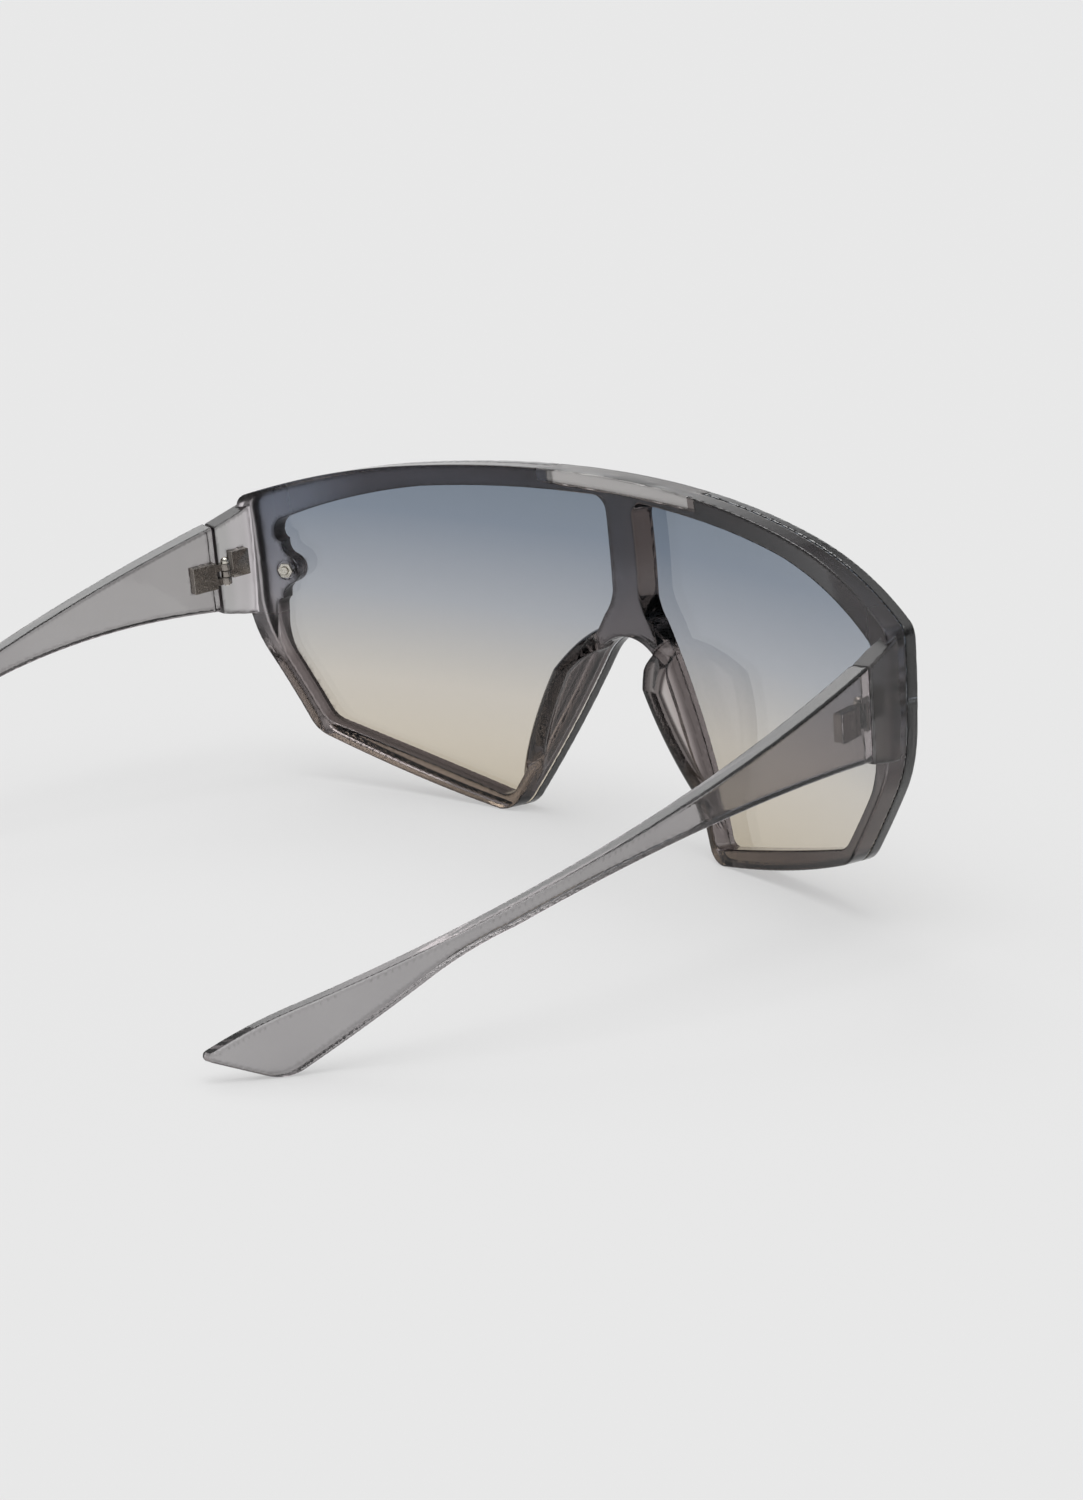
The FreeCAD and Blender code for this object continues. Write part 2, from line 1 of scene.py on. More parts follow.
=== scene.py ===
import math
import bpy
import numpy as np
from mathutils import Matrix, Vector


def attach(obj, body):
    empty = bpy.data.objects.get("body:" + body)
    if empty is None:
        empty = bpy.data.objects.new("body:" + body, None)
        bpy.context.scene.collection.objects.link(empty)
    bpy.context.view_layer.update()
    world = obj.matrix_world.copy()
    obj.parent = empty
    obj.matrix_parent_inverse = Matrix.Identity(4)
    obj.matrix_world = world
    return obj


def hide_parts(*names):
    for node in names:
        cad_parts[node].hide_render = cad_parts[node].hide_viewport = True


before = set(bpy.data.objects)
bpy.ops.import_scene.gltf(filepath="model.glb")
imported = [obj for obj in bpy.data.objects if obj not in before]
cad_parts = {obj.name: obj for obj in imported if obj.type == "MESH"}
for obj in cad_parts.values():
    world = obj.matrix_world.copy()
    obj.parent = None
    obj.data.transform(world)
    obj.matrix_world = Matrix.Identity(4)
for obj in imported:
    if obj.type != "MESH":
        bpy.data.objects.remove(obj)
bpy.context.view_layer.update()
print("frame loaded,", len(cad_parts), "nodes")

# lengths are in millimetres, in the frame of the solids: x to the wearer's right, y ahead, z up
toMetres = 0.001
frontY = 69.3  # the shield's foremost point


# closed line through rows of (across, up, radius): straight where the radius is 0, else an arc of that
# radius, which bulges to the right of the way for a positive one
def traceLine(rows, perArc=20):
    runs = []
    for (x0, y0, radius), (x1, y1, _) in zip(rows, rows[1:] + rows[:1]):
        if not radius:
            runs.append(np.array([[x0, y0]]))
            continue
        dx, dy = x1 - x0, y1 - y0
        chord = math.hypot(dx, dy)
        depth = math.copysign(math.sqrt(radius * radius - chord * chord / 4), radius) / chord
        cx, cy = (x0 + x1) / 2 - dy * depth, (y0 + y1) / 2 + dx * depth
        start = math.atan2(y0 - cy, x0 - cx)
        sweep = (math.atan2(y1 - cy, x1 - cx) - start) % (2 * math.pi)
        angle = start + (sweep if radius > 0 else sweep - 2 * math.pi) * np.arange(perArc) / perArc
        runs.append(np.stack([cx + abs(radius) * np.cos(angle), cy + abs(radius) * np.sin(angle)], 1))
    return np.concatenate(runs)


# distance from a closed line on a fine grid of the plane, below zero inside it: the least distance to any of
# its straight bits, with the sign from the count of bits crossed on the way out
def makeProfile(rows, mirrored=False, margin=6.0, step=0.25):
    line = traceLine(rows)
    if mirrored:
        line = np.concatenate([line, line[::-1] * (-1, 1)])
    low = line.min(0) - margin
    across, up = [np.arange(a, b + margin, step) for a, b in zip(low, line.max(0))]
    u, v = across[:, None], up[None, :]
    nearest = np.full((len(across), len(up)), 1e9)
    inside = np.zeros(nearest.shape, bool)
    for (ax, ay), (bx, by) in zip(line, np.roll(line, -1, 0)):
        ex, ey = bx - ax, by - ay
        along = np.clip(((u - ax) * ex + (v - ay) * ey) / max(ex * ex + ey * ey, 1e-12), 0, 1)
        nearest = np.minimum(nearest, (u - ax - along * ex) ** 2 + (v - ay - along * ey) ** 2)
        if ay != by:
            inside ^= ((ay > v) != (by > v)) & (u < ax + (v - ay) / ey * ex)
    return low, step, np.where(inside, -1, 1) * np.sqrt(nearest)


# the profile's distance at any points, straight between the points of its grid
def profileAt(profile, u, v):
    low, step, table = profile
    i = np.clip((u - low[0]) / step, 0, table.shape[0] - 1.001)
    j = np.clip((v - low[1]) / step, 0, table.shape[1] - 1.001)
    i0, j0 = i.astype(np.int32), j.astype(np.int32)
    fi, fj = i - i0, j - j0
    near = table[i0, j0] * (1 - fj) + table[i0, j0 + 1] * fj
    far = table[i0 + 1, j0] * (1 - fj) + table[i0 + 1, j0 + 1] * fj
    return near * (1 - fi) + far * fi


# what two shapes share: the greater distance, with the edge between them a quarter circle of the radius
def roundCut(a, b, radius):
    corner = np.hypot(np.maximum(a + radius, 0), np.maximum(b + radius, 0))
    return np.minimum(np.maximum(a, b), -radius) + corner


# two shapes together: the lesser distance, with the corner between them filled by such a quarter circle
def roundJoin(a, b, radius):
    corner = np.hypot(np.maximum(radius - a, 0), np.maximum(radius - b, 0))
    return np.maximum(np.minimum(a, b), radius) - corner


# field of a box by its low and high corners: the greatest overshoot along any of the three axes
def boxField(place, low, high):
    return np.maximum.reduce(np.broadcast_arrays(
        *[np.maximum(a - p, p - b) for p, a, b in zip(place, low, high)]))


# share of a run that a value has covered since its start, from 0 to 1
def passed(value, start, run):
    return np.clip((value - start) / run, 0, 1)


# height of a field at points, and its unit slope from differences over a short way to both sides
def slopeOf(field, points, reach=0.06):
    x, y, z = points.T
    slope = np.stack([field(x + reach, y, z) - field(x - reach, y, z),
                      field(x, y + reach, z) - field(x, y - reach, z),
                      field(x, y, z + reach) - field(x, y, z - reach)], 1)
    return field(x, y, z), slope / np.maximum(np.linalg.norm(slope, axis=1, keepdims=True), 1e-9)


# how far a point lies on a rounded edge, which sets its share of painted edge shade: the sum of the field's
# bends along the three axes, 0 on flat faces
def paintedEdgeShade(field, points, reach=0.15, start=0.3, full=1.6):
    x, y, z = points.T
    around = (field(x + reach, y, z) + field(x - reach, y, z)
              + field(x, y + reach, z) + field(x, y - reach, z)
              + field(x, y, z + reach) + field(x, y, z - reach))
    bend = (around - 6 * field(x, y, z)) / reach ** 2
    return passed(bend, start, full - start)


# for each cell, the point nearest to all the planes through its crossings, held a little to their mean
def meetingPoints(place, spots, slopes, step, hold):
    def gather(weights):
        return np.bincount(place, weights=weights)
    axes = range(3)
    mean = np.stack([gather(spots[:, a]) for a in axes], 1) / np.bincount(place)[:, None]
    offset = (slopes * (spots - mean[place])).sum(1)
    rows = [np.stack([gather(slopes[:, a] * slopes[:, b]) for b in axes], 1) for a in axes]
    pull = np.stack([gather(slopes[:, a] * offset) for a in axes], 1)
    move = np.linalg.solve(np.stack(rows, 1) + hold * np.eye(3), pull[:, :, None])[:, :, 0]
    return mean + np.clip(move, -step, step)


# skin of a field of distances: each grid cell that the zero surface crosses holds one point, where the flat
# bits of surface at its crossed edges meet best, and each crossed grid edge is one face; a corner's normal is
# the field's slope a little way in from the corner
def skinField(field, low, high, step, hold=0.05, wayIn=0.35):
    lines = [np.arange(a, b + step, step) for a, b in zip(low, high)]
    origin = np.array([line[0] for line in lines])
    values = field(*np.meshgrid(*lines, indexing="ij", sparse=True))
    ny, nz = values.shape[1:]
    cells, spots, slopes, faces = [], [], [], []
    for axis in range(3):
        near = values[tuple(slice(None, -1) if a == axis else slice(None) for a in range(3))]
        far = values[tuple(slice(1, None) if a == axis else slice(None) for a in range(3))]
        at = np.argwhere((near < 0) != (far < 0))
        start, end = near[tuple(at.T)], far[tuple(at.T)]
        spot = at.astype(float)
        spot[:, axis] += start / (start - end)
        spot = origin + step * spot
        ring = []
        for db, dc in ((0, 0), (-1, 0), (-1, -1), (0, -1)):
            cell = at.copy()
            cell[:, (axis + 1) % 3] += db
            cell[:, (axis + 2) % 3] += dc
            ring.append((cell[:, 0] * ny + cell[:, 1]) * nz + cell[:, 2])
        cells += ring
        spots += 4 * [spot]
        slopes += 4 * [slopeOf(field, spot)[1]]
        ring = np.stack(ring, 1)
        ring[start > 0] = ring[start > 0][:, ::-1]
        faces.append(ring)
    used, place = np.unique(np.concatenate(cells), return_inverse=True)
    faces = np.searchsorted(used, np.concatenate(faces))
    points = meetingPoints(place, np.concatenate(spots), np.concatenate(slopes), step, hold)
    for settling in range(2):
        height, slope = slopeOf(field, points)
        points = points - np.clip(height, -step / 2, step / 2)[:, None] * slope
    corners = points[faces]
    inward = corners + wayIn * (corners.mean(1, keepdims=True) - corners)
    normals = slopeOf(field, inward.reshape(-1, 3))[1].reshape(corners.shape)
    return points, faces, normals, paintedEdgeShade(field, points)


# one piece from its skin, turned over to the left where flipped: a mesh of four-cornered faces with its own
# corner normals and painted edge shade, which rides on a body in place of a node of the solids
def addPiece(name, skin, material, body, node, flipped=False):
    points, faces, normals, tone = skin
    if flipped:
        points, faces, normals = points * (-1, 1, 1), faces[:, ::-1], normals[:, ::-1] * (-1, 1, 1)
    mesh = bpy.data.meshes.new(name)
    mesh.vertices.add(len(points))
    mesh.vertices.foreach_set("co", (points * toMetres).astype(np.float32).ravel())
    mesh.loops.add(faces.size)
    mesh.loops.foreach_set("vertex_index", np.ascontiguousarray(faces).astype(np.int32).ravel())
    mesh.polygons.add(len(faces))
    mesh.polygons.foreach_set("loop_start", np.arange(0, faces.size, 4, dtype=np.int32))
    mesh.update(calc_edges=True)
    mesh.shade_smooth()
    mesh.normals_split_custom_set(normals.reshape(-1, 3).tolist())
    # painted shade of the edges and walls, kept on each point for the material
    mesh.attributes.new("paintedEdgeShade", "FLOAT", "POINT").data.foreach_set("value", tone.astype(np.float32))
    mesh.materials.append(material)
    piece = bpy.data.objects.new(name, mesh)
    bpy.context.scene.collection.objects.link(piece)
    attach(piece, body)
    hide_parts(node)
    print("made", name, len(points), "points")


# outline of the shield and the front seen from ahead, in rows of (across, up, radius) round one half: arch,
# nose side, foot, lower edge, corner, side, upper corner, shoulder and top
outline = {"halfWidth": 71.5, "top": 57.0, "topRadius": 305.0, "shoulder": 44.0, "noseAngle": 60.8,
           "arch": 31.4, "archRadius": 8.4, "foot": 2.1, "footRound": 4.2, "lowRadius": 157.0,
           "corner": (57.2, 7.8, 6.3), "cornerEnd": (60.287, 10.194, 0), "side": (67.5, 20.7, 18.9),
           "sideEnd": (70.8, 30.5, 0), "upper": (71.5, 44.55, 2.35), "upperEnd": (69.996, 46.9, 118.0)}
noseSlope = math.radians(outline["noseAngle"])
archRadius = outline["archRadius"]
archTop = outline["arch"]
archX = archRadius * math.sin(noseSlope)
archZ = archTop - archRadius + archRadius * math.cos(noseSlope)


# across on the straight nose side at a height: outwards from the arch's end by the drop over the tangent of
# the nose angle, and set off square to that side
def noseX(height, offset=0.0):
    return archX + (archZ - height) / math.tan(noseSlope) + offset / math.sin(noseSlope)


# up on the top edge at a place across: an arc about a point straight below the top
def topZ(across):
    radius = outline["topRadius"]
    return outline["top"] - radius + math.sqrt(radius * radius - across * across)


footX = noseX(outline["foot"])
footRound = outline["footRound"]
lowX = footX + math.sqrt(footRound ** 2 - (footRound - outline["foot"]) ** 2)
shoulderX = outline["shoulder"]
frontProfile = makeProfile([
    (0, archTop, -archRadius), (archX, archZ, 0), (footX, outline["foot"], footRound),
    (lowX, 0, outline["lowRadius"]), outline["corner"], outline["cornerEnd"], outline["side"],
    outline["sideEnd"], outline["upper"], outline["upperEnd"],
    (shoulderX, topZ(shoulderX), outline["topRadius"]), (0, outline["top"], 0)], mirrored=True)

shield = {"wrap": 160.0, "apex": 25.4, "thick": 2.0, "edge": 0.25, "notchHalf": 16.6, "notchLow": 54.2,
          "grid": 0.45, "boxLow": (-73.5, 48, -1), "boxHigh": (73.5, frontY + 1, 59),
          "shadeFrom": 35.0, "shadeRun": 15.0}
ballY = frontY - shield["wrap"]

# lens screws, each with a long boss at the back of the front that tapers above and below the nut
lensScrew = {"inset": 4.75, "height": 34.6, "bore": 0.65, "nutRoom": 1.578, "nutSink": 0.45,
             "headRoom": 1.55, "headSink": 0.3, "bossRadius": 2.4, "bossHalf": 4.8, "bossEnd": 0.26,
             "bossTaper": 0.5, "bossNeck": 0.34, "bossWaist": 0.94, "bossFrom": 100.0, "bossGrid": 0.1,
             "blend": 1.2}
bossOut = lensScrew["bossRadius"]
bossHigh = lensScrew["bossHalf"]
bossEnd = lensScrew["bossEnd"] * bossOut
bossTaper = lensScrew["bossTaper"] * bossHigh
bossNeck = lensScrew["bossNeck"] * bossOut
bossWaist = lensScrew["bossWaist"] * bossOut
bossProfile = makeProfile([
    (-bossOut, -bossHigh, 0), (-bossEnd, -bossHigh, -bossTaper), (bossNeck, -bossWaist, bossOut),
    (bossNeck, bossWaist, -bossTaper), (-bossEnd, bossHigh, 0), (-bossOut, bossHigh, 0)],
    step=lensScrew["bossGrid"])


# way out along the lens screw to a ball of a radius: the ball's circle at the screw's height
def alongScrew(radius):
    return math.sqrt(radius ** 2 - (lensScrew["height"] - shield["apex"]) ** 2)


screwAngle = math.asin((outline["halfWidth"] - lensScrew["inset"]) / alongScrew(shield["wrap"]))


# across, up and way out along the lens screw, from the middle of the balls, turned by the screw's angle
def screwPlace(side, y, z):
    return (-side * math.cos(screwAngle) + (y - ballY) * math.sin(screwAngle), z - lensScrew["height"],
            side * math.sin(screwAngle) + (y - ballY) * math.cos(screwAngle))


# shield: the outline, between two balls of one middle, less the top notch and the screw holes
def shieldField(x, y, z):
    side = np.abs(x)
    far = np.sqrt(x * x + (y - ballY) ** 2 + (z - shield["apex"]) ** 2)
    layer = np.maximum(far - shield["wrap"], shield["wrap"] - shield["thick"] - far)
    wall = profileAt(frontProfile, side, z)
    notch = np.maximum(side - shield["notchHalf"], shield["notchLow"] - z)
    wall = np.maximum(wall, -notch)
    across, up, out = screwPlace(side, y, z)
    hole = np.hypot(across, up)
    head = np.maximum(hole - lensScrew["headRoom"], alongScrew(shield["wrap"]) - lensScrew["headSink"] - out)
    body = roundCut(layer, wall, shield["edge"])
    return np.maximum(body, -np.minimum(hole - lensScrew["bore"], head))


# moulded front: a layer of the balls, with a block that fills the shield's notch
rim = {"front": 157.95, "back": 154.4, "middle": 156.175, "backEdge": 0.35, "frontEdge": 0.12,
       "outerEdge": 0.4, "blockHalf": 16.4, "blockLow": 54.4, "blockEdge": 0.35,
       "grid": 0.35, "boxLow": (-74.5, 37, -1), "boxHigh": (74.5, frontY + 1, 59)}

# eye openings, seen along a way that is turned aside by the tilt, in rows like the outline's
eyeSizes = {"tilt": 15.0, "brow": 3.35, "nose": 2.3, "bridge": 3.9, "round": 2.4, "lower": 2.6,
            "bridgeRise": 0.86, "noseTop": 34.505, "noseFoot": 4.16, "lowOut": 0.52, "lowRadius": 471.0,
            "corner": (56.9, 9.984, 4.8), "cornerEnd": (59.6, 11.979, 0), "side": (65.4, 20.295, 11.34),
            "sideEnd": (66.9, 26.216, 0), "upper": (66.9, 41.0), "upperEnd": (65.2, 43.4, 118.0),
            "browIn": 13.5}
tilt = math.radians(eyeSizes["tilt"])


# row of the eye opening: a place on the front ball, across it along the tilted way
def eyeRow(across, up, radius):
    ahead = math.sqrt(rim["front"] ** 2 - across ** 2 - (up - shield["apex"]) ** 2)
    return across * math.cos(tilt) - ahead * math.sin(tilt), up, radius


browX = shoulderX - eyeSizes["brow"]
browIn = eyeSizes["browIn"]
bridgeX = eyeSizes["bridge"]
eyeRound = eyeSizes["round"]
eyeTop = outline["top"] - eyeSizes["brow"]
noseTop = eyeSizes["noseTop"]
noseFoot = eyeSizes["noseFoot"]
eyeProfile = makeProfile([
    eyeRow(bridgeX, archTop + eyeSizes["bridgeRise"] * archRadius, archRadius),
    eyeRow(noseX(noseTop, eyeSizes["nose"]), noseTop, 0),
    eyeRow(noseX(noseFoot, eyeSizes["nose"]), noseFoot, eyeRound),
    eyeRow(lowX + eyeSizes["lowOut"], eyeSizes["lower"], eyeSizes["lowRadius"]),
    eyeRow(*eyeSizes["corner"]), eyeRow(*eyeSizes["cornerEnd"]),
    eyeRow(*eyeSizes["side"]), eyeRow(*eyeSizes["sideEnd"]),
    eyeRow(*eyeSizes["upper"], eyeRound), eyeRow(*eyeSizes["upperEnd"]),
    eyeRow(browX, topZ(browX) - eyeSizes["brow"], outline["topRadius"]),
    eyeRow(browIn, topZ(browIn) - eyeSizes["brow"], 0),
    eyeRow(bridgeX + eyeRound, eyeTop, eyeRound), eyeRow(bridgeX, eyeTop - eyeRound, 0)])

# nose wings: a nose side and an eye side seen from ahead, and a leaf seen from the side (way back, up)
wing = {"thick": 3.4, "reach": 11.5, "height": 25.5, "footReach": 5.0, "topReach": 1.5, "topRound": 14.0,
        "backRadius": 46.0, "rootAhead": 8.0, "lowShare": 1.2, "topShare": 0.35, "archIn": 4.2,
        "archOut": 5.208, "noseFlare": 0.06, "eyeFlare": -0.13, "edge": 0.8, "blend": 0.6,
        "swell": 0.5, "swellIn": 1.0, "swellWide": 0.8, "archFade": 0.9, "bead": 2.4, "beadSoft": 0.7}
wingArch = archRadius + wing["thick"]
wingLow = wing["lowShare"] * outline["foot"]
wingTop = archTop + wing["topShare"] * wing["thick"]
archMiddle = archTop - archRadius
wingEye = [(noseX(wingLow, wing["thick"]), wingLow, 0),
           (wingArch * math.sin(noseSlope), archMiddle + wingArch * math.cos(noseSlope), wingArch),
           (wing["archOut"], archMiddle + math.sqrt(wingArch ** 2 - wing["archOut"] ** 2), 0)]
wingProfile = makeProfile([
    (wing["archIn"], archMiddle + math.sqrt(archRadius ** 2 - wing["archIn"] ** 2), -archRadius),
    (archX, archZ, 0), (noseX(wingLow), wingLow, 0)] + wingEye)
wingLimit = makeProfile([(0, wingLow, 0)] + wingEye + [(0, archTop + wing["thick"], 0)])
wingSide = makeProfile([
    (-wing["rootAhead"], outline["foot"], 0), (wing["footReach"], outline["foot"], wing["backRadius"]),
    (wing["reach"], wing["height"], wing["topRound"]), (wing["topReach"], wingTop, 0),
    (-wing["rootAhead"], wingTop, 0)])


# wing's side outline, with its reach drawn in where the wing runs into the arch
def wingLeaf(side, wayBack, z):
    return profileAt(wingSide, wayBack, z) + wing["archFade"] * np.maximum(archX - side, 0)


# bows of the temples and end pieces, and the hinge with the rooms for its leaves as low and high corners
bow = {"outer": 180.0, "inner": 177.0, "widest": 75.5, "back": 58.0, "taper": 2.2,
       "thinFrom": 27.0, "thinTo": 21.0, "thinBy": 0.9}
hinge = {"back": 29.105, "stand": 1.1, "height": 34.8, "turn": 10.0, "lean": 6.5,
         "frontEnd": -0.55, "frontRoomLow": (-9, 1.18, -1.02), "frontRoomHigh": (1.52, 4.42, 3.32),
         "templeEnd": -1.05, "templeRoomLow": (-9, -6.17, -2.27), "templeRoomHigh": (1.52, -1.73, 2.07)}
bowX = bow["widest"] - bow["outer"]
bowY = frontY - bow["back"]
pinRun = bow["back"] + bow["taper"] - hinge["back"]
pinX = bowX + math.sqrt(bow["inner"] ** 2 - pinRun ** 2) - hinge["stand"]


# place in the hinge's own frame: out through the temple, ahead, and up along the pin
def hingePlace(side, y, z):
    turn, lean = math.radians(hinge["turn"]), math.radians(hinge["lean"])
    dx, dy, dz = side - pinX, y - (frontY - hinge["back"]), z - hinge["height"]
    ahead = -math.sin(turn) * dx + math.cos(turn) * dy
    return (math.cos(turn) * dx + math.sin(turn) * dy,
            math.cos(lean) * ahead + math.sin(lean) * dz, -math.sin(lean) * ahead + math.cos(lean) * dz)


# layer between the bows, an outer and an inner upright drum, thinner from within where it nears the rim
def bowLayer(side, y):
    near = np.clip((bow["thinFrom"] - frontY + y) / (bow["thinFrom"] - bow["thinTo"]), 0, 1)
    inner = bow["inner"] + bow["thinBy"] * near * near * (3 - 2 * near)
    return np.maximum(np.hypot(side - bowX, y - bowY) - bow["outer"],
                      inner - np.hypot(side - bowX, y - bowY + bow["taper"]))


# end pieces, with their side outline in rows of (way back, up, radius)
endPiece = {"edge": 0.35, "gapEdge": 0.2, "blend": 0.2,
            "side": [(10.0, 27, 0), (22.5, 27, 0), (36.0, 28.7, 0), (36.0, 39.7, 0), (22.5, 45.5, 0),
                     (10.0, 48.4, 0)]}
endSide = makeProfile(endPiece["side"])


# moulded front: a layer of the balls with the eye openings, then the block in the notch, nose wings and end
# pieces blended on, less the room for nuts, screws and hinge leaves
def rimField(x, y, z):
    side = np.abs(x)
    far = np.sqrt(x * x + (y - ballY) ** 2 + (z - shield["apex"]) ** 2)
    wayBack = frontY - y
    outer = profileAt(frontProfile, side, z)
    eye = profileAt(eyeProfile, side * math.cos(tilt) - (y - ballY) * math.sin(tilt), z)
    across, up, out = screwPlace(side, y, z)
    boss = np.maximum(profileAt(bossProfile, across, up), lensScrew["bossFrom"] - out)
    wall = roundJoin(-eye, boss, lensScrew["blend"])
    body = roundCut(rim["back"] - far, wall, rim["backEdge"])
    body = roundCut(body, far - rim["front"], rim["frontEdge"])
    body = roundCut(body, outer, rim["outerEdge"])
    block = np.maximum(side - rim["blockHalf"], rim["blockLow"] - z)
    block = np.maximum(roundCut(np.maximum(block, outer), far - shield["wrap"], rim["blockEdge"]),
                       rim["middle"] - far)
    body = np.minimum(body, block)
    toNose = profileAt(wingProfile, side - wing["noseFlare"] * wayBack, z)
    toEye = profileAt(wingLimit, side - wing["eyeFlare"] * wayBack, z)
    leaf = wingLeaf(side, wayBack, z)
    swell = wing["swell"] * np.exp(-((leaf + wing["swellIn"]) / wing["swellWide"]) ** 2)
    fin = roundCut(np.maximum(toNose, toEye) - swell, leaf, wing["edge"])
    body = roundJoin(body, np.maximum(fin, far - rim["middle"]), wing["blend"])
    place = hingePlace(side, y, z)
    end = roundCut(bowLayer(side, y), profileAt(endSide, wayBack, z), endPiece["edge"])
    end = roundCut(end, hinge["frontEnd"] - place[1], endPiece["gapEdge"])
    body = roundJoin(body, np.maximum(end, far - rim["middle"]), endPiece["blend"])
    body = np.maximum(body, far - shield["wrap"])
    leafRoom = boxField(place, hinge["frontRoomLow"], hinge["frontRoomHigh"])
    hole = np.hypot(across, up)
    nutRoom = np.maximum(hole - lensScrew["nutRoom"], out - alongScrew(rim["back"]) - lensScrew["nutSink"])
    return np.maximum(body, -np.minimum(np.minimum(leafRoom, nutRoom), hole - lensScrew["bore"]))


# temples, with their side outline in rows of (way back, up, radius): lower edge, paddle, tip and upper edge
temple = {"edge": 0.5, "gapEdge": 0.2, "grid": 0.33, "boxLow": (50, -frontY - 1, -1), "boxHigh": (77, 44, 46),
          "side": [(26.105, 28.1, -190), (97.3, 16.62, -50), (110.5, 10.84, 0), (126.698, 0.957, 5.5),
                   (131.956, 0.44, 0), (138.6, 2.9, 0.9), (138.303, 4.448, 52), (126.8, 9.7, 0),
                   (26.105, 43.9, 0)],
          "lowerShade": 0.6, "upperTurn": 0.1, "upperFrom": -5.0, "upperRun": 30.0}
templeSide = makeProfile(temple["side"])


# temple: the bow layer inside the side outline, up to the gap, less the room for the hinge leaf
def templeField(x, y, z):
    place = hingePlace(x, y, z)
    body = roundCut(bowLayer(x, y), profileAt(templeSide, frontY - y, z), temple["edge"])
    body = roundCut(body, place[1] - hinge["templeEnd"], temple["gapEdge"])
    return np.maximum(body, -boxField(place, hinge["templeRoomLow"], hinge["templeRoomHigh"]))


print("outlines traced")


# a number, a colour or another node's output put on a socket
def feed(links, socket, value):
    if isinstance(value, bpy.types.NodeSocket):
        links.new(value, socket)
    elif isinstance(value, tuple):
        socket.default_value = (*value, 1.0)
    else:
        socket.default_value = value


# new material, with its nodes, links and main shader
def newMaterial(name):
    material = bpy.data.materials.new(name)
    material.use_nodes = True
    nodes = material.node_tree.nodes
    return material, nodes, material.node_tree.links, nodes["Principled BSDF"]


# place on a piece or in the dome: the vector, and its parts along the three axes
def placeOf(nodes, links, kind="Object"):
    coord = nodes.new("ShaderNodeTexCoord")
    parts = nodes.new("ShaderNodeSeparateXYZ")
    links.new(coord.outputs[kind], parts.inputs["Vector"])
    return coord.outputs[kind], parts.outputs


# product, difference or greater of two shares, kept from 0 to 1
def shareOf(nodes, links, operation, first, second):
    share = nodes.new("ShaderNodeMath")
    share.operation = operation
    share.use_clamp = True
    feed(links, share.inputs[0], first)
    feed(links, share.inputs[1], second)
    return share.outputs[0]


# share from 0 to 1 over a range of a value, with soft ends
def rangeOf(nodes, links, source, low, high):
    scale = nodes.new("ShaderNodeMapRange")
    scale.interpolation_type = "SMOOTHSTEP"
    scale.inputs["From Min"].default_value = low
    scale.inputs["From Max"].default_value = high
    links.new(source, scale.inputs["Value"])
    return scale.outputs["Result"]


# share over a zone that is given in millimetres
def zoneOf(nodes, links, source, zone):
    return rangeOf(nodes, links, source, zone[0] * toMetres, zone[1] * toMetres)


# from one colour to another by a share, or the first times the second by it
def mixTint(nodes, links, share, before, after, kind="MIX"):
    mix = nodes.new("ShaderNodeMix")
    mix.data_type = "RGBA"
    mix.blend_type = kind
    feed(links, mix.inputs["Factor"], share)
    feed(links, mix.inputs["A"], before)
    feed(links, mix.inputs["B"], after)
    return mix.outputs["Result"]


# colours along a value, straight between the stops
def toneRamp(nodes, links, source, stops):
    ramp = nodes.new("ShaderNodeValToRGB")
    while len(ramp.color_ramp.elements) < len(stops):
        ramp.color_ramp.elements.new(0.5)
    for element, (place, colour) in zip(ramp.color_ramp.elements, stops):
        element.position = place
        element.color = (*colour, 1.0)
    links.new(source, ramp.inputs["Fac"])
    return ramp.outputs["Color"]


# relief on a shader from a height
def bumpFrom(nodes, links, source, shader, strength, distance):
    bump = nodes.new("ShaderNodeBump")
    bump.inputs["Strength"].default_value = strength
    bump.inputs["Distance"].default_value = distance
    links.new(source, bump.inputs["Height"])
    links.new(bump.outputs["Normal"], shader.inputs["Normal"])


flowLook = {"inputs": {"Flow Scale": 60.0, "Speck Scale": 1500.0, "Low": 0.03, "High": 0.1},
            "flowDetail": 3.0, "speckDetail": 2.0, "speckLow": 0.35, "speckHigh": 0.75}


# soft flow marks and fine specks of a surface: the roughness runs from Low to High with the specks, and the
# height and the tone are the flow marks
def makeFlowGroup():
    group = bpy.data.node_groups.new("mouldFlow", "ShaderNodeTree")
    for label, value in flowLook["inputs"].items():
        socket = group.interface.new_socket(label, in_out="INPUT", socket_type="NodeSocketFloat")
        socket.default_value = value
    for label in ("Roughness", "Height", "Tone"):
        group.interface.new_socket(label, in_out="OUTPUT", socket_type="NodeSocketFloat")
    nodes, links = group.nodes, group.links
    given = nodes.new("NodeGroupInput").outputs
    result = nodes.new("NodeGroupOutput").inputs
    coord = nodes.new("ShaderNodeTexCoord")
    noises = []
    for kind in ("flow", "speck"):
        noise = nodes.new("ShaderNodeTexNoise")
        noise.inputs["Detail"].default_value = flowLook[kind + "Detail"]
        links.new(coord.outputs["Object"], noise.inputs["Vector"])
        links.new(given[kind.capitalize() + " Scale"], noise.inputs["Scale"])
        noises.append(noise.outputs["Fac"])
    rough = nodes.new("ShaderNodeMapRange")
    rough.inputs["From Min"].default_value = flowLook["speckLow"]
    rough.inputs["From Max"].default_value = flowLook["speckHigh"]
    links.new(noises[1], rough.inputs["Value"])
    links.new(given["Low"], rough.inputs["To Min"])
    links.new(given["High"], rough.inputs["To Max"])
    links.new(rough.outputs["Result"], result["Roughness"])
    links.new(noises[0], result["Height"])
    links.new(noises[0], result["Tone"])
    return group


flowGroup = makeFlowGroup()


